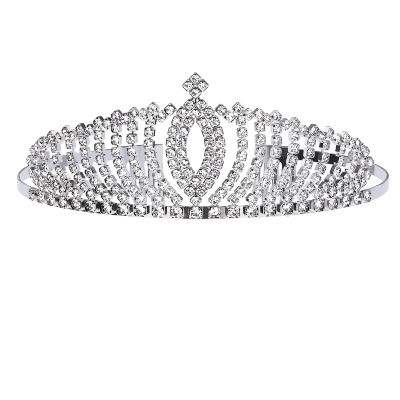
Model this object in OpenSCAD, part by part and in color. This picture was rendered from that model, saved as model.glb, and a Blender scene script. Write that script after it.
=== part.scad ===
// Rhinestone tiara: a flat headband strip that carries a pierced wall of square cups with cut
// stones, and a folded steel comb clipped over each end of the strip.
// Everything is laid out level, with the strip's lower edge at height 0 and the front towards -Y,
// and is then tipped as it rests by itself: on the front of the strip and on the comb tips.

/* [Headband] */
// Outer radius of the circle that the strip follows
band_r = 75; // [72:0.5:78]
// Height of the strip
band_h = 5; // [4.5:0.1:5.5]
// Thickness of the strip
band_t = 1; // [0.8:0.1:1.2]

/* [Stones and cups] */
// Width of a small stone across the corners of its girdle
stone_w = 3.2; // [3:0.05:3.25]
// Width of a small cup
cup_w = 3.75; // [3.7:0.05:3.9]
// Width of a base row stone across the corners of its girdle
base_stone_w = 4.4; // [4.1:0.05:4.45]
// Width of a base row cup along the strip
base_cup_w = 5.3; // [5.2:0.05:5.5]
// Height of a base row cup
base_cup_h = 4.8; // [4.75:0.05:4.9]
// Depth of every cup from its floor to its rim
cup_depth = 2.2; // [2:0.1:2.6]
// Distance between neighbouring stones along a rib
rib_pitch = 4.2; // [4.1:0.05:4.5]

/* [Crown] */
// Angle between two columns of the base row, seen from the middle of the headband
column_step = 5.25; // [5.2:0.05:5.3]
// Height of the base row's middle
base_row_z = 3; // [2.9:0.05:3.1]
// Height of the turned stones at the feet of the ribs
foot_z = 7.5; // [7.4:0.1:7.8]
// Height of the middle of the double oval
oval_z = 27.2; // [26.8:0.1:27.6]
// Height of the middle of the four-stone finial
finial_z = 50.3; // [50:0.1:51]

/* [Combs] */
// Angle from the front to the middle of a comb
comb_angle = 156.5; // [154:0.5:158]
// Distance between neighbouring teeth
tooth_pitch = 4.2; // [4:0.1:4.4]
// How far the tips hang below the strip
comb_drop = 25.8; // [22:0.2:28]
// Thickness of the comb
comb_t = 1.1; // [0.9:0.1:1.2]

/* [Hidden] */
// One row for each rib, from the middle outwards. Its foot stands on the base row column of the
// same number. It leans out to its bulge, where it turns upright, and ends at its peak stone.
// columns: bulge_deg, bulge_z, peak_deg, peak_z
RIBS = [[13.2, 28.0, 11.9, 41.6],
        [18.3, 28.0, 17.7, 39.4],
        [23.1, 27.0, 22.8, 38.2],
        [28.6, 26.0, 28.6, 35.2],
        [33.7, 24.5, 35.0, 31.9],
        [39.0, 23.5, 40.5, 30.4],
        [45.4, 22.0, 47.0, 27.6],
        [51.0, 20.0, 52.3, 24.4],
        [55.2, 16.5, 56.9, 20.4],
        [59.0, 14.0, 59.4, 16.0]];
BULGE_DEG = 0;
BULGE_Z = 1;
PEAK_DEG = 2;
PEAK_Z = 3;
// How far each link stone lies below the mean height of the two peaks that it joins
LINK_DROP = [1.2, 1.7, 1.7, 1.6, 1.9, 1.5, 1.0, 0.2];
// The two stones that join the oval's shoulder to the first peak: angle and height
SHOULDER = [[7.1, 41.3], [9.5, 38.6]];

$fn = 96;
steel = [0.8, 0.81, 0.84];
silver = [0.78, 0.79, 0.82];
crystal = [0.93, 0.94, 0.97];

// The wall of cups: its cups stand on this radius, just sunk into the strip at the base row
cup_sink = 0.2;
cup_floor_r = band_r - cup_sink;
rim_r = cup_floor_r + cup_depth;
floor_t = 0.5;
// Room between a stone and its cup
seat_gap = 0.12;
// The wire behind the cups
wire_w = 1.1;
wire_t = 0.9;

// A stone: girdle just inside the rim, crown up to the table, pavilion down to the culet
sides = 8;
half_side = 180 / sides;
crown_h = 0.62;
pavilion_h = 1.25;
table_ratio = 0.56;
girdle_drop = 0.12;

// Columns of the base row each side of the middle, and the turn of a cup that stands on a corner
columns = 11;
turned = 45;
half_diagonal = sqrt(2) / 2;

// The double oval: an inner and an outer arc a side, struck from a point beyond the middle
oval_centre_x = 12.4;
oval_inner_r = 17.7;
oval_outer_r = 21.7;
oval_inner_steps = 7;
oval_outer_steps = 9;
oval_outer_start_x = 2.2;
finial_pitch = 3.75;

// A rib's stones stand closer together at its foot than at its peak
rib_spread = 0.12;

// How finely the lines that carry the stones are drawn
lower_points = 10;
upper_points = 4;
arc_points = 20;
sample = 0.2;

// The combs
comb_gap = 0.1;
comb_out_r = band_r - band_t - comb_gap;
comb_in_r = comb_out_r - comb_t;
comb_low = -2.2;
comb_fold_t = 0.6;
comb_fold_drop = 2.4;
comb_fold_top = band_h + comb_gap + comb_fold_t;
comb_overhang_deg = 0.6;
outer_tooth = 2;
tooth_root_w = 2.4;
tooth_root_sink = 1;
tooth_bulge_w = 2.85;
tooth_bulge_at = 0.34;
tooth_tip_w = 0.9;
tooth_lean = 2.3;
tooth_points = 12;
slot_w = tooth_pitch - tooth_root_w;
slot_top = -1.2;
channel_depth = 0.45;
channel_rail = 0.55;
channel_from = 0.2;
channel_to = 0.84;
tooth_deg = tooth_pitch / comb_in_r * 180 / PI;
comb_half_deg = (outer_tooth * tooth_pitch + tooth_root_w / 2) / comb_in_r * 180 / PI;
band_end_deg = comb_angle + comb_half_deg - comb_overhang_deg;
// How far a cut runs past the face that it opens
over = 1;

// The rest: the strip's front edge and all the comb tips lie on one plane
function tip_y(deg) = -comb_in_r * cos(deg) + tooth_lean * sin(deg);
rest_tilt = atan(comb_drop / (band_r + tip_y(comb_angle)));
function tip_drop(deg) = (band_r + tip_y(deg)) * tan(rest_tilt);
finial_step = finial_pitch * half_diagonal;
table_top_z = finial_z + finial_step + stone_w / 2 * table_ratio * cos(half_side);
table_r = rim_r - girdle_drop + crown_h;
front_y = -(table_r - band_r) * cos(rest_tilt) - table_top_z * sin(rest_tilt);
last_deg = comb_angle + outer_tooth * tooth_deg;
back_y = (band_r + tip_y(last_deg) - comb_t * cos(last_deg)) * cos(rest_tilt)
         + tip_drop(last_deg) * sin(rest_tilt);
mid_y = (front_y + back_y) / 2;

// On the unrolled wall a point is [mm along the wall, height] and a spot is [angle, height, turn]
function mm(deg) = deg * PI / 180 * rim_r;
function deg(mm) = mm / rim_r * 180 / PI;

// Length of a path up to each of its points, the point at length s, and the heading there
function runs(path) =
    [for (i = 0, s = 0; i < len(path); i = i + 1, s = s + norm(path[min(i, len(path) - 1)] - path[i - 1])) s];
function along(path, s) =
    let (far = runs(path))
    [for (k = [0, 1]) lookup(s, [for (i = [0 : len(path) - 1]) [far[i], path[i][k]]])];
function heading(path, s) =
    let (d = along(path, s + sample) - along(path, s - sample)) atan2(d[1], d[0]);
function total(path) = runs(path)[len(path) - 1];

// Spots in n steps along a path, each square to it. Each step is longer than the last by the spread.
function strung(path, n, spread = 0) =
    [for (i = [0 : n]) let (u = i / n, s = total(path) * u * (1 - spread + spread * u), p = along(path, s))
        [deg(p[0]), p[1], heading(path, s)]];

// A rib's line: a parabola from the foot up to the bulge, and a flatter one on to the peak
function rib_line(n) =
    let (r = RIBS[n - 1], foot_x = mm(n * column_step), bulge_x = mm(r[BULGE_DEG]))
    let (peak_x = mm(r[PEAK_DEG]), lower = r[BULGE_Z] - foot_z, upper = r[PEAK_Z] - r[BULGE_Z])
    concat([for (i = [lower_points : -1 : 1]) let (t = i / lower_points)
                [bulge_x - (bulge_x - foot_x) * t * t, r[BULGE_Z] - lower * t]],
           [for (i = [0 : upper_points]) let (t = i / upper_points)
                [bulge_x + (peak_x - bulge_x) * t * t, r[BULGE_Z] + upper * t]]);

// A rib's spots, with the first and the last on their corners
function rib_spots(n) =
    let (line = rib_line(n), steps = round(total(line) / rib_pitch), spots = strung(line, steps, rib_spread))
    [for (i = [0 : steps]) i == 0 || i == steps ? [spots[i][0], spots[i][1], turned] : spots[i]];

// The scalloped top edge: link stones between the peaks, and the line through both
function peak(n) = [RIBS[n - 1][PEAK_DEG], RIBS[n - 1][PEAK_Z]];
function link(n) =
    let (middle = (peak(n) + peak(n + 1)) / 2) [middle[0], middle[1] - LINK_DROP[n - 1], turned];
links = [for (n = [1 : len(LINK_DROP)]) link(n)];
shoulder_spots = [for (s = SHOULDER) [s[0], s[1], turned]];
top_edge_spots = concat(shoulder_spots, links);
peaks_and_links = [for (n = [1 : len(RIBS)]) each n <= len(links) ? [peak(n), links[n - 1]] : [peak(n)]];

// The right half of the double oval, from the bottom up
function oval_arc(r, end) =
    [for (i = [0 : arc_points]) let (a = end * (2 * i / arc_points - 1))
        [r * cos(a) - oval_centre_x, oval_z + r * sin(a)]];
outer_end = acos((oval_centre_x + oval_outer_start_x) / oval_outer_r);
inner_end = acos(oval_centre_x / oval_inner_r);
outer_half = strung(oval_arc(oval_outer_r, outer_end), oval_outer_steps);
inner_half = strung(oval_arc(oval_inner_r, inner_end), oval_inner_steps);
inner_side = [for (i = [1 : oval_inner_steps - 1]) inner_half[i]];
inner_tips = [[0, inner_half[0][1], turned], [0, inner_half[oval_inner_steps][1], turned]];
centre_foot = [0, foot_z, turned];
finial_middle = [[0, finial_z - finial_step, turned], [0, finial_z + finial_step, turned]];
finial_side = [deg(finial_step), finial_z, turned];

function flip(spots) = [for (s = spots) [-s[0], s[1], -s[2]]];
function both(spots) = concat(spots, flip(spots));
base_spots = [for (i = [-columns : columns]) [i * column_step, base_row_z, 0]];
all_rib_spots = [for (n = [1 : len(RIBS)]) each rib_spots(n)];
side_spots = concat(all_rib_spots, top_edge_spots, outer_half, inner_side, [finial_side]);
small_spots = concat(both(side_spots), inner_tips, finial_middle, [centre_foot]);

// Lifts the level tiara into its rest
module at_rest() {
    translate([0, -mid_y, 0]) rotate([rest_tilt, 0, 0]) translate([0, band_r, 0]) children();
}

// Puts children on the wall at radius r: their x runs along the wall, y up and z outwards
module on_wall(spot, turn = 0, r = rim_r) {
    rotate([0, 0, spot[0]]) translate([0, -r, spot[1]]) rotate([90, 0, 0]) rotate([0, 0, turn]) children();
}

module at_spots(spots) {
    for (s = spots) on_wall(s, s[2]) children();
}

module cup_block(w, h) {
    translate([-w / 2, -h / 2, -cup_depth]) cube([w, h, cup_depth]);
}

// The eight-sided pocket that a stone sits in
module cup_pocket(stone) {
    rotate([0, 0, half_side]) translate([0, 0, floor_t - cup_depth])
        cylinder(r = stone / 2 + seat_gap / cos(half_side), h = cup_depth, $fn = sides);
}

module wire(a, b) {
    run = [mm(b[0] - a[0]), b[1] - a[1]];
    on_wall([(a[0] + b[0]) / 2, (a[1] + b[1]) / 2], atan2(run[1], run[0]), cup_floor_r)
        translate([-norm(run) / 2, -wire_w / 2, -wire_t / 2]) cube([norm(run), wire_w, wire_t]);
}

module wires(spots) {
    for (i = [1 : len(spots) - 1]) wire(spots[i - 1], spots[i]);
}

// A cut stone: a flat table, a crown facet and a pavilion facet to each side
module stone(w) {
    ring = [for (i = [0 : sides - 1]) let (a = (2 * i + 1) * half_side) [cos(a), sin(a)] * w / 2];
    table = [for (p = ring) [p[0] * table_ratio, p[1] * table_ratio, crown_h]];
    girdle = [for (p = ring) [p[0], p[1], 0]];
    crown_facets = [for (i = [0 : sides - 1]) let (j = (i + 1) % sides) [i, j, sides + j, sides + i]];
    pavilion_facets = [for (i = [0 : sides - 1]) [sides + i, sides + (i + 1) % sides, 2 * sides]];
    translate([0, 0, -girdle_drop])
        polyhedron(points = concat(table, girdle, [[0, 0, -pavilion_h]]),
                   faces = concat([[for (i = [sides - 1 : -1 : 0]) i]], crown_facets, pavilion_facets));
}

module stones(spots, w = stone_w) {
    color(crystal) at_rest() at_spots(spots) stone(w);
}

module strip() {
    rotate([0, 0, -90 - band_end_deg]) rotate_extrude(angle = 2 * band_end_deg)
        translate([band_r - band_t, 0]) square([band_t, band_h]);
}

module half_wires() {
    wires(concat([centre_foot], outer_half, [finial_middle[0]]));
    wires(concat([inner_tips[0]], inner_side, [inner_tips[1]]));
    wires([finial_middle[0], finial_side, finial_middle[1]]);
    wires(concat([outer_half[oval_outer_steps - 2]], shoulder_spots, peaks_and_links));
    for (n = [1 : len(RIBS)]) wires(rib_spots(n));
}

// The strip with every cup and wire soldered to it
module soldered_frame() {
    color(silver) at_rest() difference() {
        union() {
            strip();
            at_spots(base_spots) cup_block(base_cup_w, base_cup_h);
            at_spots(small_spots) cup_block(cup_w, cup_w);
            half_wires();
            mirror([1, 0, 0]) half_wires();
            wires([inner_tips[0], centre_foot]);
            wires([inner_tips[1], finial_middle[0]]);
        }
        at_spots(base_spots) cup_pocket(base_stone_w);
        at_spots(small_spots) cup_pocket(stone_w);
    }
}

// Half the width of a tooth at t, from 0 at its root to 1 at its tip
function tooth_half(t) = t < tooth_bulge_at
    ? (tooth_root_w + (tooth_bulge_w - tooth_root_w) * sin(90 * t / tooth_bulge_at)) / 2
    : let (past = (t - tooth_bulge_at) / (1 - tooth_bulge_at))
      (tooth_tip_w + (tooth_bulge_w - tooth_tip_w) * cos(90 * past)) / 2;

// A point on one side of a tooth of the given drop, drawn in by inset
function tooth_point(drop, side, t, inset) =
    [tooth_lean * t * t + side * (tooth_half(t) - inset),
     comb_low - (drop + comb_low - tooth_tip_w / 2) * t];

module tooth_outline(drop, from = 0, to = 1, inset = 0) {
    steps = [for (i = [0 : tooth_points]) from + (to - from) * i / tooth_points];
    polygon(concat([for (t = steps) tooth_point(drop, -1, t, inset)],
                   [for (i = [tooth_points : -1 : 0]) tooth_point(drop, 1, steps[i], inset)]));
}

// A tooth with a round tip, and a channel pressed into its inner face
module tooth(drop) {
    difference() {
        union() {
            linear_extrude(comb_t) tooth_outline(drop);
            translate([-tooth_root_w / 2, comb_low, 0]) cube([tooth_root_w, tooth_root_sink, comb_t]);
            translate([tooth_lean, tooth_tip_w / 2 - drop, 0]) cylinder(d = tooth_tip_w, h = comb_t);
        }
        translate([0, 0, -over]) linear_extrude(channel_depth + over)
            tooth_outline(drop, channel_from, channel_to, channel_rail);
    }
}

// The round top of the slot between two teeth
module slot_end() {
    translate([0, slot_top - slot_w / 2, -over]) cylinder(d = slot_w, h = comb_t + 2 * over);
}

// The plate lies inside the strip, is folded over its top edge and ends in a short lip outside
module comb_plate() {
    lip_in = band_r + comb_gap;
    lip_out = lip_in + comb_fold_t;
    lip_low = comb_fold_top - comb_fold_drop;
    rotate([0, 0, comb_angle - comb_half_deg - 90]) rotate_extrude(angle = 2 * comb_half_deg)
        polygon([[comb_in_r, comb_low], [comb_out_r, comb_low], [comb_out_r, band_h + comb_gap],
                 [lip_in, band_h + comb_gap], [lip_in, lip_low], [lip_out, lip_low],
                 [lip_out, comb_fold_top], [comb_in_r, comb_fold_top]]);
}

// The right-hand comb
module comb() {
    difference() {
        comb_plate();
        for (i = [-outer_tooth : outer_tooth - 1])
            on_wall([comb_angle + (i + 0.5) * tooth_deg, 0], r = comb_in_r) slot_end();
    }
    for (i = [-outer_tooth : outer_tooth]) {
        a = comb_angle + i * tooth_deg;
        on_wall([a, 0], r = comb_in_r) tooth(tip_drop(a));
    }
}

module comb_right() {
    color(steel) at_rest() comb();
}

module comb_left() {
    color(steel) at_rest() mirror([1, 0, 0]) comb();
}

module base_row_stones() {
    stones(base_spots, base_stone_w);
}

module oval_outer_stones() {
    stones(concat(both(outer_half), [centre_foot]));
}

module oval_inner_stones() {
    stones(concat(both(inner_side), inner_tips));
}

module finial_stones() {
    stones(concat(both([finial_side]), finial_middle));
}

module top_edge_left_stones() {
    stones(flip(top_edge_spots));
}

module top_edge_right_stones() {
    stones(top_edge_spots);
}

module rib_left_stones(n) {
    stones(flip(rib_spots(n)));
}

module rib_right_stones(n) {
    stones(rib_spots(n));
}

soldered_frame();
comb_left();
comb_right();
base_row_stones();
oval_outer_stones();
oval_inner_stones();
finial_stones();
top_edge_left_stones();
top_edge_right_stones();
for (n = [1 : len(RIBS)]) {
    rib_left_stones(n);
    rib_right_stones(n);
}
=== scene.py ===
# %% [markdown]
# This lesson dresses a rhinestone tiara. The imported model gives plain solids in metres, at rest on
# the table, and every new piece is drawn in that same frame, so nothing needs to be fitted later.
# The solids stay as the measure of size: the dressed tiara may not grow out of their box.

# %% Load the solids
import math
import random

import bmesh
import bpy
import numpy as np
from mathutils import Matrix, Vector


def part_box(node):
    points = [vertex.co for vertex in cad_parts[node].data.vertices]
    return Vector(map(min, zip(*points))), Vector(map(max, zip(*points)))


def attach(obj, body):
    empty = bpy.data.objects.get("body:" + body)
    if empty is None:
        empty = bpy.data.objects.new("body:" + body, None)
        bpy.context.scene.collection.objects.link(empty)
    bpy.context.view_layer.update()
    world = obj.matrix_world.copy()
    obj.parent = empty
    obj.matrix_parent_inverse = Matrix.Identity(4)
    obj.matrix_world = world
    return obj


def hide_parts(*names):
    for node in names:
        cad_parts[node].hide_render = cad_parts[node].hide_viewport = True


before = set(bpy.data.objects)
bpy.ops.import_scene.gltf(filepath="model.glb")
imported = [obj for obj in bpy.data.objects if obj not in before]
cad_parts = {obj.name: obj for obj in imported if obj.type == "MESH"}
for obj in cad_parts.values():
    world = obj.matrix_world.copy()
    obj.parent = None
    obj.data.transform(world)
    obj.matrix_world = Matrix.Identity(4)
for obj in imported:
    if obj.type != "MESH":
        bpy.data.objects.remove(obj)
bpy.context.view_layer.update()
scene = bpy.context.scene

# %% [markdown]
# A real tiara of this kind starts flat: cups and stones are laid out on a sheet, soldered, and bent
# round a mandrel. The layout follows that. A spot is an angle round the headband, a height and a
# turn, and the lines that carry the stones are drawn on the unrolled wall, where they are easy to
# measure. The values repeat those of the solids, in metres and radians.

# %% Sizes of the headband, the cups and the stones
MM = 0.001
band_r = 75 * MM
band_h = 5 * MM
band_t = 1 * MM
stone_w = 3.2 * MM
cup_w = 3.75 * MM
base_stone_w = 4.4 * MM
base_cup_w = 5.3 * MM
base_cup_h = 4.8 * MM
cup_depth = 2.2 * MM
cup_sink = 0.2 * MM
cup_floor_r = band_r - cup_sink
rim_r = cup_floor_r + cup_depth
crown_h = 0.62 * MM
pavilion_h = 1.25 * MM
girdle_drop = 0.12 * MM
table_ratio = 0.56
print("cups stand out to a radius of", round(rim_r / MM, 2), "mm")

# %% Heights and angles of the crown
column_step = math.radians(5.25)
columns = 11
base_row_z = 3 * MM
foot_z = 7.5 * MM
oval_z = 27.2 * MM
finial_z = 50.3 * MM
rib_pitch = 4.2 * MM
rib_spread = 0.12
finial_step = cup_w * math.sqrt(0.5)
turned = math.radians(45)
half_side = math.radians(22.5)
# A rib leans out to its bulge and turns up to its peak: bulge degrees and mm, peak degrees and mm
RIBS = [(13.2, 28.0, 11.9, 41.6), (18.3, 28.0, 17.7, 39.4), (23.1, 27.0, 22.8, 38.2),
        (28.6, 26.0, 28.6, 35.2), (33.7, 24.5, 35.0, 31.9), (39.0, 23.5, 40.5, 30.4),
        (45.4, 22.0, 47.0, 27.6), (51.0, 20.0, 52.3, 24.4), (55.2, 16.5, 56.9, 20.4),
        (59.0, 14.0, 59.4, 16.0)]
# Each link stone hangs this many mm below the mean of its two peaks
LINK_DROP = [1.2, 1.7, 1.7, 1.6, 1.9, 1.5, 1.0, 0.2]
SHOULDER = [(7.1, 41.3), (9.5, 38.6)]
print("ribs on each side:", len(RIBS))

# %% The combs, and the tilt at which the tiara rests
comb_angle = math.radians(156.5)
tooth_pitch = 4.2 * MM
comb_drop = 25.8 * MM
comb_t = 1.1 * MM
comb_gap = 0.1 * MM
comb_out_r = band_r - band_t - comb_gap
comb_in_r = comb_out_r - comb_t
outer_tooth = 2
tooth_root_w = 2.4 * MM
tooth_lean = 2.3 * MM
tooth_step = tooth_pitch / comb_in_r
comb_half = (outer_tooth * tooth_pitch + tooth_root_w / 2) / comb_in_r
comb_overhang = math.radians(0.6)
band_end = comb_angle + comb_half - comb_overhang


def tip_y(angle):
    """How far back a tooth's tip reaches, from the headband's centre"""
    return -comb_in_r * math.cos(angle) + tooth_lean * math.sin(angle)


rest_tilt = math.atan(comb_drop / (band_r + tip_y(comb_angle)))


def tip_drop(angle):
    """How far a tooth's tip hangs below the strip, so that all tips touch the table"""
    return (band_r + tip_y(angle)) * math.tan(rest_tilt)


table_top_z = finial_z + finial_step + stone_w / 2 * table_ratio * math.cos(half_side)
table_r = rim_r - girdle_drop + crown_h
front_y = -(table_r - band_r) * math.cos(rest_tilt) - table_top_z * math.sin(rest_tilt)
last_angle = comb_angle + outer_tooth * tooth_step
last_reach = band_r + tip_y(last_angle) - comb_t * math.cos(last_angle)
back_y = last_reach * math.cos(rest_tilt) + tip_drop(last_angle) * math.sin(rest_tilt)
mid_y = (front_y + back_y) / 2
at_rest = (Matrix.Translation((0, -mid_y, 0)) @ Matrix.Rotation(rest_tilt, 4, "X")
           @ Matrix.Translation((0, band_r, 0)))
print("rests at a tilt of", round(math.degrees(rest_tilt), 2), "degrees")

# %% Lines on the unrolled wall
turn_sample = 0.2 * MM
lower_points = 10
upper_points = 4
arc_points = 20
# Each side of the oval is an arc, and its centre lies this many mm beyond the middle
oval_centre = 12.4


def runs(line):
    """Length of a line up to each of its points"""
    return np.concatenate([[0], np.cumsum(np.linalg.norm(np.diff(line, axis=0), axis=1))])


def along(line, length):
    """The point at a length along a line"""
    far = runs(line)
    return np.array([np.interp(length, far, line[:, 0]), np.interp(length, far, line[:, 1])])


def strung(line, steps, spread=0.0):
    """Spots along a line, each turned with it. Each step is longer than the last by the spread."""
    spots = []
    for share in np.linspace(0, 1, steps + 1):
        length = runs(line)[-1] * share * (1 - spread + spread * share)
        here = along(line, length)
        ahead = along(line, length + turn_sample) - along(line, length - turn_sample)
        spots.append((here[0] / rim_r, here[1], math.atan2(ahead[1], ahead[0])))
    return spots


def rib_spots(rib):
    """The spots of one rib, with its first and last stone on their corners"""
    bulge_angle, bulge_z, peak_angle, peak_z = RIBS[rib - 1]
    foot = rib * column_step * rim_r
    bulge = math.radians(bulge_angle) * rim_r
    peak = math.radians(peak_angle) * rim_r
    lower = [(bulge - (bulge - foot) * t * t, bulge_z * MM - (bulge_z * MM - foot_z) * t)
             for t in np.linspace(1, 0, lower_points + 1)[:-1]]
    upper = [(bulge + (peak - bulge) * t * t, bulge_z * MM + (peak_z - bulge_z) * MM * t)
             for t in np.linspace(0, 1, upper_points + 1)]
    line = np.array(lower + upper)
    spots = strung(line, round(runs(line)[-1] / rib_pitch), rib_spread)
    spots[0] = spots[0][:2] + (turned,)
    spots[-1] = spots[-1][:2] + (turned,)
    return spots


def oval_line(radius, end):
    """One side of the double oval, from the bottom up"""
    centre_x = oval_centre * MM
    return np.array([(radius * math.cos(a) - centre_x, oval_z + radius * math.sin(a))
                     for a in np.linspace(-end, end, arc_points + 1)])


def flip(spots):
    """The same spots on the other side"""
    return [(-angle, height, -turn) for angle, height, turn in spots]


print("a rib's first spot:", rib_spots(1)[0])

# %% All the spots
# The oval's two arcs in mm. The inner one ends on the middle line, the outer one a little before it.
outer_radius = 21.7
outer_stop = 14.6
inner_radius = 17.7
outer_steps = 9
inner_steps = 7
oval_outer = strung(oval_line(outer_radius * MM, math.acos(outer_stop / outer_radius)), outer_steps)
oval_inner = strung(oval_line(inner_radius * MM, math.acos(oval_centre / inner_radius)), inner_steps)
inner_side = oval_inner[1:-1]
inner_tips = [(0, oval_inner[0][1], turned), (0, oval_inner[-1][1], turned)]
centre_foot = (0, foot_z, turned)
finial_middle = [(0, finial_z - finial_step, turned), (0, finial_z + finial_step, turned)]
finial_side = (finial_step / rim_r, finial_z, turned)
peaks = [(math.radians(row[2]), row[3] * MM) for row in RIBS]
links = [((peaks[n][0] + peaks[n + 1][0]) / 2, (peaks[n][1] + peaks[n + 1][1]) / 2 - drop * MM, turned)
         for n, drop in enumerate(LINK_DROP)]
shoulder = [(math.radians(angle), height * MM, turned) for angle, height in SHOULDER]
STRINGS = {
    "base_row": [(n * column_step, base_row_z, 0) for n in range(-columns, columns + 1)],
    "oval_outer": oval_outer + flip(oval_outer) + [centre_foot],
    "oval_inner": inner_side + flip(inner_side) + inner_tips,
    "finial": [finial_side] + flip([finial_side]) + finial_middle,
    "top_edge_left": flip(shoulder + links),
    "top_edge_right": shoulder + links,
}
for rib in range(1, len(RIBS) + 1):
    STRINGS[f"rib_left_{rib}"] = flip(rib_spots(rib))
    STRINGS[f"rib_right_{rib}"] = rib_spots(rib)
print("strings:", len(STRINGS), "with", sum(len(spots) for spots in STRINGS.values()), "stones")


# %% Where a spot is on the resting tiara
def on_wall(spot, radius=rim_r):
    """Stands a piece on the wall: its x runs along the wall, y up and z outwards"""
    angle, height, turn = spot
    return (at_rest @ Matrix.Rotation(angle, 4, "Z") @ Matrix.Translation((0, -radius, height))
            @ Matrix.Rotation(math.radians(90), 4, "X") @ Matrix.Rotation(turn, 4, "Z"))


furthest = 0
for name, spots in STRINGS.items():
    low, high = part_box(name + "_stones")
    centres = np.array([on_wall(spot).translation for spot in spots])
    furthest = max(furthest, np.abs((centres.max(0) + centres.min(0)) / 2 - (low + high) / 2).max())
print("strings sit on their solids to within", round(furthest / MM, 3), "mm")

# %% [markdown]
# The photograph was taken from almost straight ahead with a long lens. The camera stands a hair
# above the table, level, and leans by under a degree. It comes early, so that every try at a piece
# can be seen from the right place.

# %% The camera
view_azimuth = math.radians(2.1)
view_distance = 0.9
camera_height = 7.3 * MM
side_step = 1.2 * MM
lean = math.radians(0.3)
sensor_w = 36
lens_length = 199.93
band_centre = at_rest.translation
sight = Vector((math.sin(view_azimuth), -math.cos(view_azimuth), 0))
across = Vector((math.cos(view_azimuth), math.sin(view_azimuth), 0))
camera_data = bpy.data.cameras.new("camera")
camera_data.sensor_width = sensor_w
camera_data.lens = lens_length
camera = bpy.data.objects.new("camera", camera_data)
scene.collection.objects.link(camera)
stand = Vector((band_centre.x, band_centre.y, 0)) + sight * view_distance - across * side_step
camera.matrix_world = (Matrix.Translation((stand.x, stand.y, camera_height))
                       @ Matrix.Rotation(view_azimuth, 4, "Z")
                       @ Matrix.Rotation(math.radians(90), 4, "X")
                       @ Matrix.Rotation(lean, 4, "Z"))
scene.camera = camera
print("camera at", tuple(round(v, 4) for v in camera.matrix_world.translation))

# %% [markdown]
# Operators act on whatever is selected, and a fresh file from another program arrives selected.
# These few helpers keep that under control: clear the selection, open a new primitive for editing,
# pick faces or edges by a test of their place, pull them out, and leave edit mode with a clean mesh.

# %% Helpers for modelling
merge_distance = 0.0001 * MM


def clear_selection():
    """Leaves edit mode and selects nothing"""
    if bpy.context.object and bpy.context.object.mode != "OBJECT":
        bpy.ops.object.mode_set(mode="OBJECT")
    bpy.ops.object.select_all(action="DESELECT")


def take(piece):
    """Makes one piece the selected and active one"""
    clear_selection()
    piece.select_set(True)
    bpy.context.view_layer.objects.active = piece
    return piece


def begin(name):
    """Names the primitive that was just added, puts its place in its mesh and opens it for editing"""
    piece = take(bpy.context.object)
    piece.name = name
    bpy.ops.object.transform_apply(location=True, rotation=True, scale=True)
    bpy.ops.object.mode_set(mode="EDIT")
    return piece


def pick(kind, test):
    """Selects only the faces, edges or corners that pass a test"""
    bpy.ops.mesh.select_mode(type=kind)
    bpy.ops.mesh.select_all(action="DESELECT")
    mesh = bmesh.from_edit_mesh(bpy.context.edit_object.data)
    for part in {"FACE": mesh.faces, "EDGE": mesh.edges, "VERT": mesh.verts}[kind]:
        if test(part):
            part.select_set(True)
    mesh.select_flush_mode()
    bmesh.update_edit_mesh(bpy.context.edit_object.data)


def pull(move):
    """Extrudes what is selected and moves it"""
    bpy.ops.mesh.extrude_region_move(TRANSFORM_OT_translate={"value": move})


def close_up(piece, merge=merge_distance):
    """Merges doubles, turns every face outwards and leaves edit mode"""
    bpy.ops.mesh.select_all(action="SELECT")
    bpy.ops.mesh.remove_doubles(threshold=merge)
    bpy.ops.mesh.normals_make_consistent(inside=False)
    bpy.ops.object.mode_set(mode="OBJECT")
    print(piece.name, "has", len(piece.data.polygons), "faces")
    return piece


def join(pieces, name):
    """Joins copies into one named piece"""
    clear_selection()
    for piece in pieces:
        piece.select_set(True)
    bpy.context.view_layer.objects.active = pieces[0]
    bpy.ops.object.join()
    joined = bpy.context.object
    joined.name = name
    joined.data.name = name
    return joined


def copy_to(model, matrix):
    """A copy with its own mesh, moved inside the mesh so that the object stays at the origin"""
    piece = model.copy()
    piece.data = model.data.copy()
    scene.collection.objects.link(piece)
    piece.data.transform(matrix)
    return piece


clear_selection()
print("helpers ready")

# %% [markdown]
# A rhinestone is glass, pressed or ground to a brilliant: a flat table, eight kites with small
# stars and girdle facets between them, and a cone of facets below that is backed with foil. It
# could be drawn vertex by vertex, but a stone cutter's way is shorter and always gives flat facets:
# take a sixteen-sided blank and grind one plane after the other. Bisect is the grinding wheel. It
# cuts along a plane, clears what stands outside and fills the cut with one face.

# %% Grinding a stone
girdle_t = 0.06 * MM
blank_sides = 16
facet_turn = math.radians(22.5)
star_meet = 0.78
lower_girdle_share = 1.12
culet_share = 0.95
cut_threshold = 0.00001 * MM
around = [n * facet_turn for n in range(blank_sides)]


def grind(azimuth, slope, reach, height, down=False):
    """Grinds one facet: its outward direction, its slope and a point on it"""
    side = -1 if down else 1
    steep = math.sin(slope)
    normal = (math.cos(azimuth) * steep, math.sin(azimuth) * steep, side * math.cos(slope))
    point = (reach * math.cos(azimuth), reach * math.sin(azimuth), height)
    bpy.ops.mesh.select_all(action="SELECT")
    bpy.ops.mesh.bisect(plane_co=point, plane_no=normal, use_fill=True, clear_inner=False,
                        clear_outer=True, threshold=cut_threshold)


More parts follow.
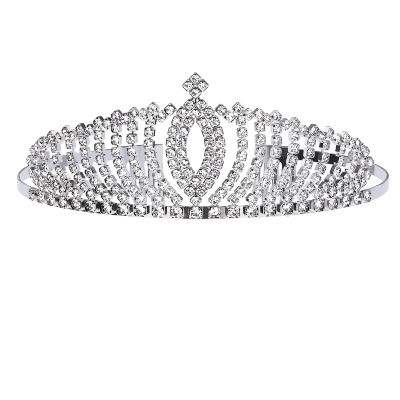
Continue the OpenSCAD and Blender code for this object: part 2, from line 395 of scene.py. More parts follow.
def cut_stone(name, width):
    """A brilliant of the given width, with its girdle just under the rim of its cup"""
    radius = width / 2
    table_z = crown_h - girdle_drop
    pavilion_depth = pavilion_h * width / stone_w
    culet_z = -girdle_drop - pavilion_depth * culet_share
    upper = -girdle_drop + girdle_t / 2
    lower = -girdle_drop - girdle_t / 2
    clear_selection()
    bpy.ops.mesh.primitive_cylinder_add(vertices=blank_sides, radius=radius, depth=table_z - culet_z,
                                        location=(0, 0, (table_z + culet_z) / 2))
    piece = begin(name)
    flat = radius * math.cos(facet_turn / 2)
    table_flat = radius * table_ratio * math.cos(facet_turn)
    kite = math.atan((table_z - upper) / (radius * (1 - table_ratio)))
    meet_z = (1 - star_meet * math.cos(facet_turn)) * radius * math.tan(kite)
    girdle_slope = math.atan(meet_z / (flat * (1 - star_meet)))
    star = math.atan((table_z - upper - meet_z) / (star_meet * radius - table_flat))
    pavilion = math.atan(pavilion_depth / radius)
    lower_girdle = math.atan(pavilion_depth * lower_girdle_share / flat)
    for azimuth in around[0::2]:
        grind(azimuth, kite, radius, upper)
        grind(azimuth + facet_turn, star, table_flat, table_z)
    for azimuth in around:
        grind(azimuth + facet_turn / 2, girdle_slope, flat, upper)
    for azimuth in around[0::2]:
        grind(azimuth, pavilion, radius, lower, down=True)
    for azimuth in around:
        grind(azimuth + facet_turn / 2, lower_girdle, flat, lower, down=True)
    for blank_name in ("blank_glass", "blank_foil"):
        piece.data.materials.append(bpy.data.materials.new(blank_name))
    pick("FACE", lambda f: f.normal.z < -cut_threshold)
    piece.active_material_index = 1
    bpy.ops.object.material_slot_assign()
    return close_up(piece)


small_stone = cut_stone("small_stone", stone_w)
base_stone = cut_stone("base_stone", base_stone_w)

# %% [markdown]
# The cup that holds a stone is a little square box of sheet metal with a claw at each corner, bent
# over the edge of the stone. A box primitive gives the walls. Its upright edges are bevelled, its
# back is inset and raised a little so that the edge round it catches the light, the top is inset to
# leave a thin rim and pushed down to the seat, and the four faces at the corners of the rim are
# pulled up and drawn in to make the claws.

# %% One claw cup
lip_t = 0.14 * MM
lip_slope = 0.12 * MM
rim_t = 0.08 * MM
seat_depth = 1.5 * MM
claw_rise = 0.3 * MM
claw_tip = 0.14 * MM
claw_reach = 0.74
claw_bend = 0.88
back_soft = 0.14 * MM
small_corner = 0.6 * MM
base_corner = 1.2 * MM
base_corner_steps = 3
# A face looks along an axis where its normal has at least this much of it
facing = 0.9


def make_cup(name, width, height, corner, steps):
    """A cup with rounded corners and four claws, its rim at height 0"""
    clear_selection()
    wall_h = cup_depth - lip_slope - back_soft
    bpy.ops.mesh.primitive_cube_add(size=1, location=(0, 0, -lip_slope - wall_h / 2),
                                    scale=(width, height, wall_h))
    piece = begin(name)
    pick("EDGE", lambda e: abs(e.verts[0].co.z - e.verts[1].co.z) > cup_depth / 2)
    bpy.ops.mesh.bevel(offset=corner, segments=steps, affect="EDGES", clamp_overlap=False)
    pick("FACE", lambda f: f.normal.z < -facing)
    bpy.ops.mesh.inset(thickness=back_soft, depth=back_soft)
    pick("FACE", lambda f: f.normal.z > facing)
    bpy.ops.mesh.inset(thickness=lip_t, depth=lip_slope)
    bpy.ops.mesh.inset(thickness=rim_t, depth=0)
    pull((0, 0, -seat_depth * height / cup_w))

    def at_corner(face):
        middle = face.calc_center_median()
        off_diagonal = abs(abs(middle.x) - abs(middle.y) - (width - height) / 2)
        on_rim = face.normal.z > facing and middle.z > -lip_slope / 2
        return on_rim and off_diagonal < corner / 2 / steps

    pick("FACE", at_corner)
    for rise, drawn_in in ((claw_rise, claw_bend), (claw_tip, claw_reach)):
        pull((0, 0, rise))
        bpy.ops.transform.resize(value=(drawn_in, drawn_in, 1), center_override=(0, 0, 0))
    return close_up(piece)


small_cup = make_cup("small_cup", cup_w, cup_w, small_corner, 1)
base_cup = make_cup("base_cup", base_cup_w, base_cup_h, base_corner, base_corner_steps)

# %% [markdown]
# Each string of stones is one piece, made of copies of the one stone, and stands for the string of
# plain solids. The cups are copied to the same spots. Stones set by hand never sit quite level, so
# each copy is tipped by a few degrees and turned a little, and that is what makes a row of them
# glitter unevenly. Their cups lean by about a degree, as soldered cups do. Both come from seeded
# lists, so every run gives the same tiara.

# %% Copies at every spot
seating_seed = 11
seating = random.Random(seating_seed)
seat_sigma = math.radians(4)


def tipped(source, sigma):
    """A small random tip about both directions of the wall"""
    nod = Matrix.Rotation(source.gauss(0, sigma), 4, "X")
    sway = Matrix.Rotation(source.gauss(0, sigma), 4, "Y")
    return nod @ sway


def seated():
    """A small tip and turn of a stone in its cup"""
    tip = tipped(seating, seat_sigma)
    return tip @ Matrix.Rotation(seating.uniform(-half_side, half_side), 4, "Z")


stone_pieces = {}
for name, spots in STRINGS.items():
    model = base_stone if name == "base_row" else small_stone
    copies = [copy_to(model, on_wall(spot) @ seated()) for spot in spots]
    stone_pieces[name] = join(copies, name + "_brilliants")
print("stone strings:", len(stone_pieces))

# %% Cups at every spot
soldering_seed = 23
soldering = random.Random(soldering_seed)
solder_sigma = math.radians(1.2)
CUP_GROUPS = {"base_row_cups": ["base_row"], "oval_cups": ["oval_outer", "oval_inner"],
              "finial_cups": ["finial"], "top_edge_cups": ["top_edge_left", "top_edge_right"],
              "rib_left_cups": [f"rib_left_{rib}" for rib in range(1, len(RIBS) + 1)],
              "rib_right_cups": [f"rib_right_{rib}" for rib in range(1, len(RIBS) + 1)]}
cup_pieces = {}
for group, names in CUP_GROUPS.items():
    model = base_cup if group == "base_row_cups" else small_cup
    spots = [spot for name in names for spot in STRINGS[name]]
    copies = [copy_to(model, on_wall(spot) @ tipped(soldering, solder_sigma)) for spot in spots]
    cup_pieces[group] = join(copies, group)
for model in (small_stone, base_stone, small_cup, base_cup):
    bpy.data.objects.remove(model)
print("cup pieces:", {group: len(piece.data.polygons) for group, piece in cup_pieces.items()})

# %% [markdown]
# Wires run behind the cups and hold them together, and the solder joins them. A line is drawn by
# extruding one corner from spot to spot, then it becomes a curve, which can be given a round
# thickness, and at last a mesh again.

# %% The wires
wire_r = 0.5 * MM


def draw_wire(spots, name):
    """A round wire through the backs of the cups at some spots"""
    points = [on_wall((*spot[:2], 0), cup_floor_r).translation for spot in spots]
    clear_selection()
    bpy.ops.mesh.primitive_plane_add(size=wire_r, location=points[0])
    piece = begin(name)
    bpy.ops.mesh.select_mode(type="VERT")
    bpy.ops.mesh.select_all(action="SELECT")
    bpy.ops.mesh.merge(type="CENTER")
    for here, there in zip(points, points[1:]):
        pull(there - here)
    bpy.ops.object.mode_set(mode="OBJECT")
    bpy.ops.object.convert(target="CURVE")
    piece.data.bevel_depth = wire_r
    piece.data.bevel_resolution = 1
    piece.data.use_fill_caps = True
    bpy.ops.object.convert(target="MESH")
    return bpy.context.object


def peaks_and_links():
    """The line of the top edge, from peak to link to peak"""
    line = []
    for n, (angle, height) in enumerate(peaks):
        line.append((angle, height, turned))
        if n < len(links):
            line.append(links[n])
    return line


half_lines = [[centre_foot] + oval_outer + [finial_middle[0]],
              [inner_tips[0]] + inner_side + [inner_tips[1]],
              [finial_middle[0], finial_side, finial_middle[1]],
              [oval_outer[-2]] + shoulder + peaks_and_links()]
half_lines += [rib_spots(rib) for rib in range(1, len(RIBS) + 1)]
wire_lines = half_lines + [flip(line) for line in half_lines]
wire_lines += [[inner_tips[0], centre_foot], [inner_tips[1], finial_middle[0]]]
wires = join([draw_wire(line, "wire") for line in wire_lines], "soldered_wires")
print("wires:", len(wire_lines), "runs,", len(wires.data.polygons), "faces")

# %% [markdown]
# The headband is one strip of sheet metal with rolled edges. Its section is a small rectangle with
# rounded corners, and spin carries it round the head in even steps.

# %% The headband strip
edge_round = 0.28 * MM
round_steps = 3
strip_steps = 132
section_middle = (0, -band_r + band_t / 2, band_h / 2)
# Stands a new plane on edge, so that it crosses the strip
across_strip = (math.radians(90), 0, math.radians(90))
clear_selection()
bpy.ops.mesh.primitive_plane_add(size=1, location=section_middle, rotation=across_strip)
strip = begin("headband_strip")
bpy.ops.mesh.select_all(action="SELECT")
bpy.ops.transform.resize(value=(1, band_t, band_h), center_override=section_middle)
bpy.ops.mesh.bevel(offset=edge_round, segments=round_steps, affect="VERTICES")
bpy.ops.mesh.select_all(action="SELECT")
bpy.ops.transform.rotate(value=band_end, orient_axis="Z", center_override=(0, 0, 0))
strip_start = [v.co.copy() for v in bmesh.from_edit_mesh(strip.data).verts]
towards = -1 if strip_start[0].x > 0 else 1
bpy.ops.mesh.spin(steps=strip_steps, angle=-towards * 2 * band_end, center=(0, 0, 0), axis=(0, 0, 1))
close_up(strip)
strip.data.transform(at_rest)
print("strip section starts at", strip_start[0])

# %% [markdown]
# A side comb is stamped from sheet steel. The plate lies inside the strip, folds over its top edge
# and ends in a short lip outside. Its section is drawn as a chain of small faces, each extruded from
# an edge of the last, and spin carries it round. The gaps between the teeth end in half circles,
# which a Boolean modifier cuts from the plate.

# %% The comb's plate
comb_low = -2.2 * MM
comb_fold_t = 0.6 * MM
comb_fold_drop = 2.4 * MM
fold_round = 0.5 * MM
fold_steps = 4
sheet_round = 0.18 * MM
plate_steps = 24
slot_w = tooth_pitch - tooth_root_w
slot_top = -1.2 * MM


def extrude_edge(test, move):
    """Extrudes the edges that pass a test"""
    pick("EDGE", test)
    pull(move)


def lowest_z(edge):
    """Height of an edge's lower end"""
    return min(corner.co.z for corner in edge.verts)


def inmost_y(edge):
    """Place of the end of an edge that lies nearer to the head"""
    return max(corner.co.y for corner in edge.verts)


def make_plate():
    """The folded plate of a comb, before its slots are cut"""
    under_fold = band_h + comb_gap
    section_h = under_fold - comb_low
    middle = (0, -comb_out_r + comb_t / 2, comb_low + section_h / 2)
    clear_selection()
    bpy.ops.mesh.primitive_plane_add(size=1, location=middle, rotation=across_strip)
    piece = begin("comb_plate")
    bpy.ops.mesh.select_all(action="SELECT")
    bpy.ops.transform.resize(value=(1, comb_t, section_h), center_override=middle)
    extrude_edge(lambda e: lowest_z(e) > under_fold - cut_threshold, (0, 0, comb_fold_t))
    lip_in = band_r + comb_gap
    for reach, step in ((comb_out_r, lip_in - comb_out_r), (lip_in, comb_fold_t)):
        past = -reach + sheet_round
        extrude_edge(lambda e: inmost_y(e) < past and lowest_z(e) > under_fold - cut_threshold,
                     (0, -step, 0))

    def under_lip(edge):
        highest_z = max(corner.co.z for corner in edge.verts)
        return highest_z < under_fold + cut_threshold and inmost_y(edge) < -lip_in + cut_threshold

    extrude_edge(under_lip, (0, 0, comb_fold_t - comb_fold_drop))

    def on_bend(corner):
        off = min(abs(corner.co.y + comb_in_r), abs(corner.co.y + lip_in + comb_fold_t))
        return corner.co.z > under_fold + comb_fold_t / 2 and off < sheet_round

    pick("VERT", on_bend)
    bpy.ops.mesh.bevel(offset=fold_round, segments=fold_steps, affect="VERTICES")
    bpy.ops.mesh.select_all(action="SELECT")
    bpy.ops.mesh.spin(steps=plate_steps, angle=2 * comb_half, center=(0, 0, 0), axis=(0, 0, 1))
    return close_up(piece)


comb_plate = make_plate()
spun_middle = np.mean([v.co for v in comb_plate.data.vertices], axis=0)
spun_angle = math.atan2(spun_middle[0], -spun_middle[1])
comb_plate.data.transform(at_rest @ Matrix.Rotation(comb_angle - spun_angle, 4, "Z"))
print("plate spun round", round(math.degrees(spun_angle), 2), "degrees")

# %% Slots between the teeth
slot_sides = 32
cutter_depth = 4 * comb_t


def cut_from_plate(spot, radius):
    """Moves the primitive that was just added to a spot of the plate, and cuts it out there"""
    cutter = bpy.context.object
    cutter.data.transform(on_wall(spot, radius))
    take(comb_plate)
    cut = comb_plate.modifiers.new("cut", "BOOLEAN")
    cut.object = cutter
    cut.operation = "DIFFERENCE"
    bpy.ops.object.modifier_apply(modifier=cut.name)
    bpy.data.objects.remove(cutter)


for gap_at in range(-outer_tooth, outer_tooth):
    slot_angle = comb_angle + (gap_at + 0.5) * tooth_step
    clear_selection()
    bpy.ops.mesh.primitive_cylinder_add(vertices=slot_sides, radius=slot_w / 2, depth=cutter_depth)
    cut_from_plate((slot_angle, slot_top - slot_w / 2, 0), comb_in_r)
print("plate with slots:", len(comb_plate.data.polygons), "faces")

# %% [markdown]
# Two small round dimples are punched into the plate's inner face, and they show as bright dots. A
# ball that only just dips into the face cuts a shallow dish.

# %% Dimples in the plate
dimple_ball_r = 2 * MM
ball_segments = 32
ball_rings = 36
dimple_depth = 0.1 * MM
dimple_side = 6.3 * MM
dimple_z = 2.5 * MM
for side in (-1, 1):
    dimple_angle = comb_angle + side * dimple_side / comb_in_r
    clear_selection()
    bpy.ops.mesh.primitive_uv_sphere_add(segments=ball_segments, ring_count=ball_rings,
                                         radius=dimple_ball_r)
    cut_from_plate((dimple_angle, dimple_z, 0), comb_in_r + dimple_depth - dimple_ball_r)
print("plate with dimples:", len(comb_plate.data.polygons), "faces")

# %% [markdown]
# A tooth starts as a short block under the plate and grows by extruding its lower face, step by
# step, each step a little wider, narrower or further back. Its long edges are rounded, and a channel
# is pressed into the side that faces the head, which makes the thin steel stiff.

# %% A comb's teeth
tooth_root_sink = 1 * MM
tooth_bulge_w = 2.85 * MM
tooth_bulge_at = 0.34
tooth_tip_w = 0.9 * MM
tooth_steps = 12
tip_round = 0.42
edge_soft = 0.36 * MM
channel_rim = 0.12 * MM
# The channel goes down in two steps, each with the width of its wall and its depth
channel_walls = [(0.22 * MM, 0.24 * MM), (0.2 * MM, 0.16 * MM)]
channel_from = 0.2
channel_to = 0.78
# A side wall's normal has less than this much of the plate's own direction
side_on = 0.5


def tooth_width(t):
    """How wide a tooth is at t, from 0 at its root to 1 near its tip"""
    if t < tooth_bulge_at:
        return tooth_root_w + (tooth_bulge_w - tooth_root_w) * math.sin(math.pi / 2 * t / tooth_bulge_at)
    past = (t - tooth_bulge_at) / (1 - tooth_bulge_at)
    return tooth_tip_w + (tooth_bulge_w - tooth_tip_w) * math.cos(math.pi / 2 * past)


def make_tooth(drop):
    """A tooth that reaches down to the given drop"""
    clear_selection()
    bpy.ops.mesh.primitive_cube_add(size=1, location=(0, comb_low + tooth_root_sink / 2, comb_t / 2),
                                    scale=(tooth_root_w, tooth_root_sink, comb_t))
    piece = begin("tooth")
    length = drop + comb_low - tooth_tip_w / 2
    pick("FACE", lambda f: f.normal.y < -facing)
    width = tooth_root_w
    for t in np.linspace(0, 1, tooth_steps + 1)[1:]:
        before = t - 1 / tooth_steps
        pull((tooth_lean * (t * t - before * before), -length / tooth_steps, 0))
        bpy.ops.transform.resize(value=(tooth_width(t) / width, 1, 1),
                                 center_override=(tooth_lean * t * t, comb_low - length * t, comb_t / 2))
        width = tooth_width(t)
    pull((0, -tooth_tip_w / 2, 0))

    def beside_tip(edge):
        through = abs(edge.verts[0].co.z - edge.verts[1].co.z) > comb_t / 2
        return inmost_y(edge) < -drop + cut_threshold and through

    pick("EDGE", beside_tip)
    bpy.ops.mesh.bevel(offset=tooth_tip_w * tip_round, segments=round_steps, affect="EDGES")

    def in_channel(face):
        share = (comb_low - face.calc_center_median().y) / length
        return face.normal.z < -facing and channel_from < share < channel_to

    pick("FACE", in_channel)
    bpy.ops.mesh.inset(thickness=edge_soft + channel_rim, depth=0)
    for wall, depth in channel_walls:
        bpy.ops.mesh.inset(thickness=wall, depth=-depth)

    def long_edge(edge):
        level = abs(edge.verts[0].co.z - edge.verts[1].co.z) < cut_threshold
        at_face = all(min(v.co.z, comb_t - v.co.z) < cut_threshold for v in edge.verts)
        return level and at_face and any(abs(face.normal.z) < side_on for face in edge.link_faces)

    pick("EDGE", long_edge)
    bpy.ops.mesh.bevel(offset=edge_soft, segments=round_steps, affect="EDGES")
    return close_up(piece)


tooth_copies = []
for tooth_at in range(-outer_tooth, outer_tooth + 1):
    angle = comb_angle + tooth_at * tooth_step
    tooth = make_tooth(tip_drop(angle))
    tooth.data.transform(on_wall((angle, 0, 0), comb_in_r))
    tooth_copies.append(tooth)
right_comb = join([comb_plate] + tooth_copies, "right_comb")
left_comb = copy_to(right_comb, Matrix.Scale(-1, 4, (1, 0, 0)))
left_comb.name = "left_comb"
combs = ((right_comb, "comb_right"), (left_comb, "comb_left"))
for piece, solid in combs:
    take(piece)
    bpy.ops.object.mode_set(mode="EDIT")
    close_up(piece, cut_threshold)
    low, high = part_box(solid)
    corners = np.array([v.co for v in piece.data.vertices])
    off_box = max(np.abs(corners.min(0) - low).max(), np.abs(corners.max(0) - high).max())
    print(piece.name, "is off its solid's box by", round(off_box / MM, 3), "mm")

# %% [markdown]
# Rolled and pressed sheet is smooth where it bends and crisp where it is cut. Shading by angle gives
# both from one mesh: faces that meet at less than an angle share their light, the others keep an
# edge. The facets of the stones and the sides of the cups stay flat.

# %% Soft shading on what is round
sheet_angle = math.radians(8)
wire_angle = math.radians(60)
for piece, angle in ((strip, sheet_angle), (right_comb, sheet_angle), (left_comb, sheet_angle),
                     (wires, wire_angle)):
    take(piece)
    bpy.ops.object.shade_smooth_by_angle(angle=angle)
clear_selection()
print("smooth pieces:", strip.name, right_comb.name, left_comb.name, wires.name)

# %% [markdown]
# Bare metal looks flat when it is one even mirror. Plated metal has faint clouds in its plating
# and fine scratches from handling. These come from one node group that every metal uses with its
# own values.


# %% Helpers for node trees
def add_group(name, inputs, outputs):
    """An empty node group with named number inputs and named outputs"""
    group = bpy.data.node_groups.new(name, "ShaderNodeTree")
    for label, value in inputs.items():
        socket = group.interface.new_socket(label, in_out="INPUT", socket_type="NodeSocketFloat")
        socket.default_value = value
    for label, kind in outputs.items():
        group.interface.new_socket(label, in_out="OUTPUT", socket_type=kind)
    return group, group.nodes.new("NodeGroupInput"), group.nodes.new("NodeGroupOutput")


def add_node(tree, kind, **values):
    """A node with its settings and input values given by name"""
    node = tree.nodes.new(kind)
    for label, value in values.items():
        if label in node.inputs:
            node.inputs[label].default_value = value
        else:
            setattr(node, label, value)
    return node


def range_node(tree, value, start, end, **settings):
    """A Map Range node that stretches what lies between start and end"""
    node = add_node(tree, "ShaderNodeMapRange", **settings)
    tree.links.new(value, node.inputs["Value"])
    node.inputs["From Min"].default_value = start
    node.inputs["From Max"].default_value = end
    return node


print("node helpers ready")

# %% A node group for worn plating
scratch_stretch = (1, 1, 0.08)
scratch_turn = (0.4, 0.2, 0.3)
cloud_range = (0.35, 0.72)
scratch_range = (0.3, 0.7)
plating, given, result = add_group(
    "worn_plating",
    {"Cloud Scale": 120, "Scratch Scale": 900, "Least Roughness": 0.06, "Most Roughness": 0.2,
     "Least Shade": 0.9, "Most Shade": 1},
    {"Shade": "NodeSocketFloat", "Roughness": "NodeSocketFloat", "Height": "NodeSocketFloat"})
metal_place = add_node(plating, "ShaderNodeTexCoord")
clouds = add_node(plating, "ShaderNodeTexNoise", Detail=4)
plating.links.new(metal_place.outputs["Object"], clouds.inputs["Vector"])
plating.links.new(given.outputs["Cloud Scale"], clouds.inputs["Scale"])
stretch = add_node(plating, "ShaderNodeMapping", Scale=scratch_stretch, Rotation=scratch_turn)
scratches = add_node(plating, "ShaderNodeTexNoise", Detail=6)
plating.links.new(metal_place.outputs["Object"], stretch.inputs["Vector"])
plating.links.new(stretch.outputs["Vector"], scratches.inputs["Vector"])
plating.links.new(given.outputs["Scratch Scale"], scratches.inputs["Scale"])
dull = range_node(plating, clouds.outputs["Fac"], *cloud_range, interpolation_type="SMOOTHSTEP")
shade = range_node(plating, scratches.outputs["Fac"], *scratch_range)
for node, label in ((dull, "Roughness"), (shade, "Shade")):
    plating.links.new(given.outputs["Least " + label], node.inputs["To Min"])
    plating.links.new(given.outputs["Most " + label], node.inputs["To Max"])
    plating.links.new(node.outputs["Result"], result.inputs[label])
plating.links.new(scratches.outputs["Fac"], result.inputs["Height"])
print("node group:", plating.name)

# %% Metals
scratch_relief = 0.25


def metal(name, colour, dark, bump_distance, values):
    """A plated metal: its colour runs to a darker tone where the plating is worn"""
    material = bpy.data.materials.new(name)
    material.use_nodes = True
    tree = material.node_tree
    shader = tree.nodes["Principled BSDF"]
    shader.inputs["Metallic"].default_value = 1
    worn = add_node(tree, "ShaderNodeGroup", node_tree=plating)
    for label, value in values.items():
        worn.inputs[label].default_value = value
    tone = add_node(tree, "ShaderNodeMix", data_type="RGBA")
    tone.inputs["A"].default_value = (*dark, 1)
    tone.inputs["B"].default_value = (*colour, 1)
    tree.links.new(worn.outputs["Shade"], tone.inputs["Factor"])
    tree.links.new(tone.outputs["Result"], shader.inputs["Base Color"])
    tree.links.new(worn.outputs["Roughness"], shader.inputs["Roughness"])
    relief = add_node(tree, "ShaderNodeBump", Strength=scratch_relief, Distance=bump_distance)
    tree.links.new(worn.outputs["Height"], relief.inputs["Height"])
    tree.links.new(relief.outputs["Normal"], shader.inputs["Normal"])
    return material


silver_plate = metal("bright_plating", colour=(0.93, 0.91, 0.91), dark=(0.62, 0.6, 0.6),
                     bump_distance=0.02 * MM,
                     values={"Cloud Scale": 150, "Scratch Scale": 1400, "Least Roughness": 0.05,
                             "Most Roughness": 0.16, "Least Shade": 0.75, "Most Shade": 1})
comb_steel = metal("pressed_steel", colour=(0.82, 0.82, 0.85), dark=(0.5, 0.5, 0.54),
                   bump_distance=0.02 * MM,
                   values={"Cloud Scale": 90, "Scratch Scale": 700, "Least Roughness": 0.1,
                           "Most Roughness": 0.26, "Least Shade": 0.6, "Most Shade": 1})
print("metals:", silver_plate.name, comb_steel.name)

# %% [markdown]
# Glass only glitters when it has something bright and something dark to bend. The crown facets are
# clear glass, and the facets below are foil, a mirror that sends the light back up. Real glass has
# faint smears and tints, so its tone and roughness follow a noise over the tiara. Foil is never
# quite smooth: a fine crinkle bends its mirror and breaks the sparkle into small lights and darks.


# %% Cut glass
def noise_on(tree, scale):
    """A noise on a piece's own coordinates"""
    place = add_node(tree, "ShaderNodeTexCoord")
    noise = add_node(tree, "ShaderNodeTexNoise", Scale=scale, Detail=1)
    tree.links.new(place.outputs["Object"], noise.inputs["Vector"])
    return noise.outputs["Fac"]


glass_ior = 1.56
tint_scale = 260
tinted = (0.95, 0.94, 0.94, 1)
clear = (1, 1, 1, 1)
smear_range = (0.4, 0.8)
smear_roughness = 0.05
crystal = bpy.data.materials.new("cut_glass")
crystal.use_nodes = True
tree = crystal.node_tree
shader = tree.nodes["Principled BSDF"]
shader.inputs["Transmission Weight"].default_value = 1
shader.inputs["IOR"].default_value = glass_ior
tints = noise_on(tree, tint_scale)
tint = add_node(tree, "ShaderNodeMix", data_type="RGBA")
tint.inputs["A"].default_value = tinted
tint.inputs["B"].default_value = clear
tree.links.new(tints, tint.inputs["Factor"])
tree.links.new(tint.outputs["Result"], shader.inputs["Base Color"])
smear = range_node(tree, tints, *smear_range)
smear.inputs["To Min"].default_value = 0
smear.inputs["To Max"].default_value = smear_roughness
tree.links.new(smear.outputs["Result"], shader.inputs["Roughness"])
print("glass:", crystal.name)

# %% Crinkled foil
crinkle_scale = 1500
crinkle_h = 0.035 * MM
foil = metal("foil", colour=(0.95, 0.94, 0.94), dark=(0.6, 0.6, 0.6), bump_distance=0.002 * MM,
             values={"Cloud Scale": 500, "Scratch Scale": 2500, "Least Roughness": 0.01,
                     "Most Roughness": 0.05, "Least Shade": 0.8, "Most Shade": 1})
tree = foil.node_tree
crinkle = add_node(tree, "ShaderNodeBump", Strength=1, Distance=crinkle_h)
tree.links.new(noise_on(tree, crinkle_scale), crinkle.inputs["Height"])
tree.links.new(crinkle.outputs["Normal"], tree.nodes["Bump"].inputs["Normal"])
print("foil:", foil.name)

# %% [markdown]
# A shape and a finish are not yet a part. Each piece is also hung on the body that carries it, and the
# solid of the imported model that it stands for is hidden.

# %% Every piece gets its finish and rides on the tiara
for name, piece in stone_pieces.items():
    piece.data.materials[0] = crystal
    piece.data.materials[1] = foil
    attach(piece, "root")
    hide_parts(name + "_stones")
plated_pieces = list(cup_pieces.values()) + [wires, strip]
for piece in plated_pieces:
    piece.data.materials.clear()
    piece.data.materials.append(silver_plate)
    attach(piece, "root")
    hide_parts("soldered_frame")
for piece, solid in combs:
    piece.data.materials.clear()
    piece.data.materials.append(comb_steel)
    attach(piece, "root")
    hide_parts(solid)
print("pieces finished:", len(stone_pieces) + len(plated_pieces) + len(combs))

# %% [markdown]
# The ground is a wide sheet of matt white paper. It carries a soft shadow, but the metal and the
# glass don't see it, because a white floor in every facet would wash the dark lines out.

# %% Stage
floor_r = 6
floor_sides = 96
paper_tone = (0.95, 0.95, 0.95, 1)
sharp_pixels = 0.9
clear_selection()
bpy.ops.mesh.primitive_circle_add(vertices=floor_sides, radius=floor_r, fill_type="NGON")
floor = bpy.context.object
floor.name = "floor"
paper = bpy.data.materials.new("paper")
paper.use_nodes = True
paper_shader = paper.node_tree.nodes["Principled BSDF"]
paper_shader.inputs["Base Color"].default_value = paper_tone
paper_shader.inputs["Roughness"].default_value = 1
paper_shader.inputs["Specular IOR Level"].default_value = 0
floor.data.materials.append(paper)
floor.visible_glossy = False
floor.visible_transmission = False
scene.view_settings.view_transform = "Standard"
scene.cycles.use_denoising = False
scene.cycles.filter_width = sharp_pixels
print("floor ready")

# %% [markdown]
# Polished metal and cut glass have no colour of their own to show. They show the room, so the room
# is where their look is made. A jeweller's photograph is taken in a white tent with black cards:
# the tent gives the bright planes and the cards give the dark lines that draw the shape. Here the
# tent is the world, and each kind of ray meets its own version of it: even white for the floor and
# the backdrop, white with cards for the metal, and a finer play of light and dark for the stones.
# The metal's tent has a black card in front and another at the left, a little to the front. Its
# right side is cool and grey, and its ceiling and upper rear are broken into dark and light shards,
# so that cups side by side don't show the same picture.

# %% The white tent
world = bpy.data.worlds.new("tent")
scene.world = world
world.use_nodes = True
sky = world.node_tree
sky.nodes.clear()


def reckon(operation, first, second, third=None):
    """A Math node on sockets or numbers"""
    node = sky.nodes.new("ShaderNodeMath")
    node.operation = operation
    for slot, value in enumerate((first, second, third)):
        if isinstance(value, bpy.types.NodeSocket):
            sky.links.new(value, node.inputs[slot])
        elif value is not None:
            node.inputs[slot].default_value = value
    return node.outputs["Value"]


def fade(value, start, end):
    """A smooth step from 0 to 1 as a value goes from start to end"""
    return range_node(sky, value, start, end, interpolation_type="SMOOTHSTEP").outputs["Result"]


def blend_tones(factor, under, over):
    """Lays one tone over another where a mask is 1"""
    node = add_node(sky, "ShaderNodeMix", data_type="RGBA")
    for label, value in (("Factor", factor), ("A", under), ("B", over)):
        if isinstance(value, bpy.types.NodeSocket):
            sky.links.new(value, node.inputs[label])
        else:
            node.inputs[label].default_value = value if label == "Factor" else (*value, 1)
    return node.outputs["Result"]


def shards(scale):
    """Breaks the tent into cells and gives the chance numbers of the cell that is seen"""
    cells = add_node(sky, "ShaderNodeTexVoronoi", Scale=scale)
    chance = add_node(sky, "ShaderNodeSeparateColor")
    sky.links.new(look.outputs["Generated"], cells.inputs["Vector"])
    sky.links.new(cells.outputs["Color"], chance.inputs["Color"])
    return chance.outputs


look = add_node(sky, "ShaderNodeTexCoord")
parts = add_node(sky, "ShaderNodeSeparateXYZ")
sky.links.new(look.outputs["Generated"], parts.inputs["Vector"])
to_x, to_y, to_z = (parts.outputs[axis] for axis in "XYZ")
print("tent started")

# %% What the metal sees
tent_white = (1.03, 1.01, 1.01)
cool_side = (0.68, 0.71, 0.79)
rear_tone = (0.74, 0.76, 0.85)
rear_shadow = (0.2, 0.2, 0.23)
card_black = (0.02, 0.02, 0.025)
ceiling_dark = (0.05, 0.05, 0.06)
shard_scale = 7
shard_level = 0.45
card_turn = math.radians(73)
# A tone fades in as a ray's share in its direction goes from the first value to the second
rear_fade = (0.3, 0.6)
cool_fade = (0.4, 0.8)
far_rear_fade = (0.7, 0.85)
upward_fade = (0.02, 0.1)
side_card_fade = (0.8, 0.86)
ceiling_fade = (0.42, 0.58)
front_card_fade = (0.89, 0.92)
metal_view = blend_tones(fade(to_y, *rear_fade), tent_white, rear_tone)
metal_view = blend_tones(fade(to_x, *cool_fade), metal_view, cool_side)
broken = reckon("GREATER_THAN", shards(shard_scale)["Green"], shard_level)
high_rear = reckon("MULTIPLY", fade(to_y, *far_rear_fade), fade(to_z, *upward_fade))
metal_view = blend_tones(reckon("MULTIPLY", high_rear, broken), metal_view, rear_shadow)
side_card = Vector((-math.sin(card_turn), -math.cos(card_turn), 0))
card_across = reckon("MULTIPLY", to_x, side_card.x)
towards_card = reckon("MULTIPLY_ADD", to_y, side_card.y, card_across)
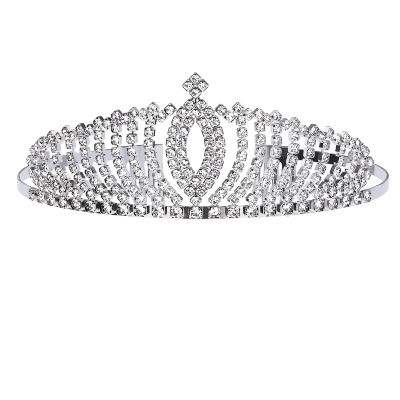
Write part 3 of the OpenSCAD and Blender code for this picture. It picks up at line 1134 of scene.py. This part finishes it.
metal_view = blend_tones(fade(towards_card, *side_card_fade), metal_view, card_black)
ceiling = reckon("MULTIPLY", fade(to_z, *ceiling_fade), broken)
metal_view = blend_tones(ceiling, metal_view, ceiling_dark)
to_front = reckon("MULTIPLY", to_y, -1)
metal_view = blend_tones(fade(to_front, *front_card_fade), metal_view, card_black)
print("metal sees", metal_view.node.name)

# %% What the stones see
glitter_scale = 6
stone_dark = (0.01, 0.01, 0.012, 1)
stone_grey = (0.4, 0.4, 0.42, 1)
stone_bright = (2.2, 2.2, 2.2, 1)
grey_from = 0.35
bright_from = 0.46
stone_view = add_node(sky, "ShaderNodeValToRGB")
stone_view.color_ramp.interpolation = "CONSTANT"
ramp = stone_view.color_ramp.elements
ramp[0].position = 0
ramp[0].color = stone_dark
ramp[1].position = grey_from
ramp[1].color = stone_grey
ramp.new(bright_from).color = stone_bright
sky.links.new(shards(glitter_scale)["Red"], stone_view.inputs["Fac"])
print("stones see", len(ramp), "tones")

# %% One view for each kind of ray
rays = add_node(sky, "ShaderNodeLightPath")


def backdrop(colour, strength=1):
    """A Background shader of one colour or of a socket"""
    node = add_node(sky, "ShaderNodeBackground", Strength=strength)
    if isinstance(colour, bpy.types.NodeSocket):
        sky.links.new(colour, node.inputs["Color"])
    else:
        node.inputs["Color"].default_value = (*colour, 1)
    return node.outputs["Background"]


def choose(ray, otherwise, seen):
    """The second shader for one kind of ray, and the first for the rest"""
    node = sky.nodes.new("ShaderNodeMixShader")
    sky.links.new(rays.outputs[ray], node.inputs[0])
    sky.links.new(otherwise, node.inputs[1])
    sky.links.new(seen, node.inputs[2])
    return node.outputs["Shader"]


soft_light = 2
even_white = (1, 1, 1)
shown = backdrop(even_white, soft_light)
shown = choose("Is Glossy Ray", shown, backdrop(metal_view))
shown = choose("Is Transmission Ray", shown, backdrop(stone_view.outputs["Color"]))
shown = choose("Is Camera Ray", shown, backdrop(even_white))
sky.links.new(shown, add_node(sky, "ShaderNodeOutputWorld").inputs["Surface"])
print("tent ready")
